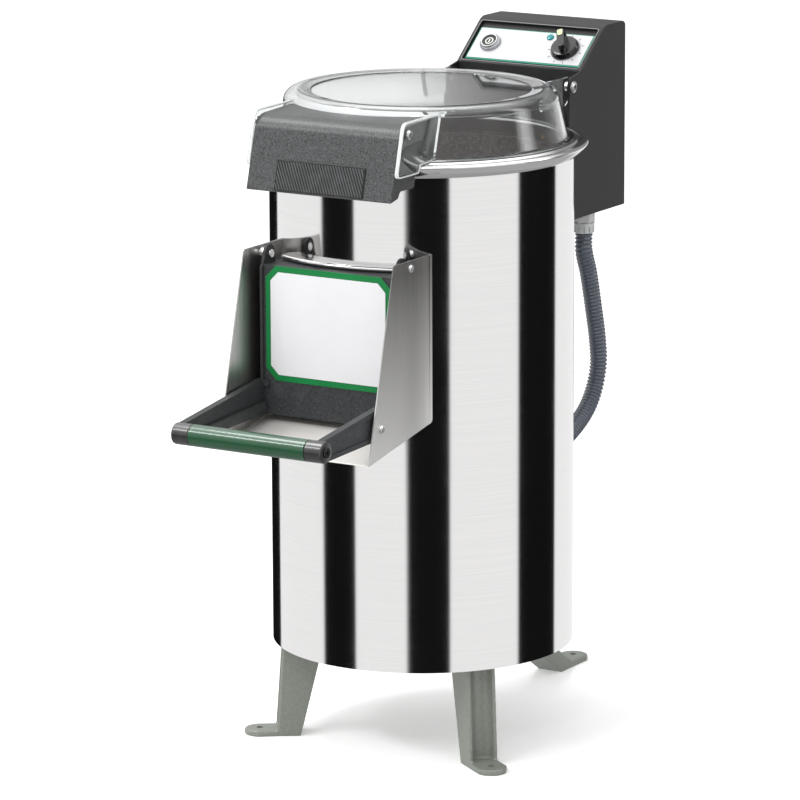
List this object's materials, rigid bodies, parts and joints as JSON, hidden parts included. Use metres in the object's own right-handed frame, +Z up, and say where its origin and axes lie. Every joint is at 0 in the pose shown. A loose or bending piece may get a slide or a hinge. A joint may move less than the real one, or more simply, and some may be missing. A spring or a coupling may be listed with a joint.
{
  "type": "electric potato peeler",
  "caption": "Floor-standing abrasive drum with a clear hinged lid, a front discharge door on a chute, legs, and a rear control box with push button, lamp and timer knob.",
  "frame": {"origin": "on the floor under the drum's axis, which is also the middle of the bounding box's base", "axes": "+Z up along the drum's axis, the discharge door faces -Y, +X to the right of a person who faces the back from the front"},
  "size_m": [0.4368, 0.8624, 0.919],
  "materials": {
    "steel": "brushed stainless steel with soft vertical grain",
    "bright_steel": "polished stainless steel",
    "cast_paint": "grey-green hammered paint on castings",
    "clear_plastic": "clear polished polycarbonate",
    "charcoal_plastic": "charcoal moulding with a fine grain",
    "box_paint": "near-black satin powder coat",
    "black_plastic": "black moulding",
    "green_tube": "smooth green sleeve",
    "green_print": "green label film",
    "teal_print": "blue-green label film",
    "white_print": "white label film",
    "knob_black": "glossy black",
    "index_yellow": "pale yellow-green mark",
    "lamp_teal": "translucent teal lens",
    "conduit_grey": "dark blue-grey ribbed plastic",
    "gland_grey": "light grey nylon",
    "rubber": "black rubber",
    "abrasive": "coarse silicon carbide grit",
    "cast_aluminium": "cast and machined",
    "motor_paint": "blue-grey enamel",
    "brass": "machined brass"
  },
  "bodies": {
    "machine": {"Barrel_Casing": "steel", "Chamber_Liner": "abrasive", "Barrel_Top_Rim": "bright_steel", "Base_Plate": "cast_paint", "Leg_Front_Left": "cast_paint", "Leg_Front_Right": "cast_paint", "Leg_Rear": "cast_paint", "Chamber_Floor": "steel", "Bearing_Housing": "cast_aluminium", "Shaft_Seal": "rubber", "Drive_Belt": "rubber", "Motor": "motor_paint", "Motor_Plate": "cast_paint", "Drain_Pipe": "steel", "Water_Inlet": "brass", "Chute_Side_Left": "steel", "Chute_Side_Right": "steel", "Chute_Floor": "steel", "Chute_Top_Lip": "bright_steel", "Door_Pivot_Left": "bright_steel", "Door_Pivot_Right": "bright_steel", "Chute_Stop_Left": "bright_steel", "Chute_Stop_Right": "bright_steel", "Control_Box_Housing": "box_paint", "Control_Box_Rear_Cover": "box_paint", "Lid_Switch": "black_plastic", "Lid_Hinge_Bolt_Left": "bright_steel", "Lid_Hinge_Bolt_Right": "bright_steel", "Panel_Label_Border": "teal_print", "Panel_Label": "white_print", "Start_Button_Bezel": "bright_steel", "Button_Contact_Block": "black_plastic", "Pilot_Lamp": "lamp_teal", "Timer_Body": "black_plastic", "Box_Mount_Bracket": "steel", "Conduit_Gland_Upper": "gland_grey", "Conduit_Gland_Lower": "gland_grey", "Conduit_Hose": "conduit_grey"},
    "lid": {"Lid": "clear_plastic", "Lid_Handle": "charcoal_plastic", "Lid_Handle_Grip_Pad": "black_plastic", "Lid_Handle_Screw_Left": "bright_steel", "Lid_Handle_Screw_Right": "bright_steel"},
    "door": {"Door_Frame": "charcoal_plastic", "Door_Seal": "rubber", "Door_Label_Border": "green_print", "Door_Label": "white_print", "Handle_Tube": "green_tube", "Handle_Screw_Left": "black_plastic", "Handle_Screw_Right": "black_plastic"},
    "timer_knob": {"Timer_Knob": "knob_black", "Timer_Knob_Index": "index_yellow"},
    "start_button": {"Start_Button_Cap": "knob_black"},
    "disc_rotor": {"Abrasive_Disc": "abrasive", "Disc_Dome_Nut": "bright_steel", "Disc_Shaft": "bright_steel", "Disc_Pulley": "cast_aluminium"},
    "motor_rotor": {"Motor_Pulley": "cast_aluminium", "Motor_Shaft": "bright_steel"}
  },
  "joints": [
    {"name": "lid_hinge", "type": "hinge", "parent": "machine", "child": "lid", "pos_m": [0, 0.2306, 0.847], "axis": [-1, 0, 0], "range_deg": [0, 95]},
    {"name": "door_hinge", "type": "hinge", "parent": "machine", "child": "door", "pos_m": [0, -0.2165, 0.676], "axis": [-1, 0, 0], "range_deg": [0, 70]},
    {"name": "timer_turn", "type": "hinge", "parent": "machine", "child": "timer_knob", "pos_m": [0.0555, 0.28257, 0.88895], "axis": [0, 0.6261, -0.7797], "range_deg": [0, 300]},
    {"name": "button_press", "type": "slide", "parent": "machine", "child": "start_button", "axis": [0, 0.6261, -0.7797], "range_m": [0, 0.003], "stiffness_N_per_m": 600, "springref_m": -0.002},
    {"name": "disc_spin", "type": "hinge", "parent": "machine", "child": "disc_rotor", "pos_m": [0, 0, 0.471], "axis": [0, 0, 1], "continuous": true},
    {"name": "motor_spin", "type": "hinge", "parent": "machine", "child": "motor_rotor", "pos_m": [0, -0.118, 0.311], "axis": [0, 0, 1], "continuous": true}
  ],
  "couplings": [
    {"joint": "motor_spin", "follows": "disc_spin", "ratio": 3}
  ]
}
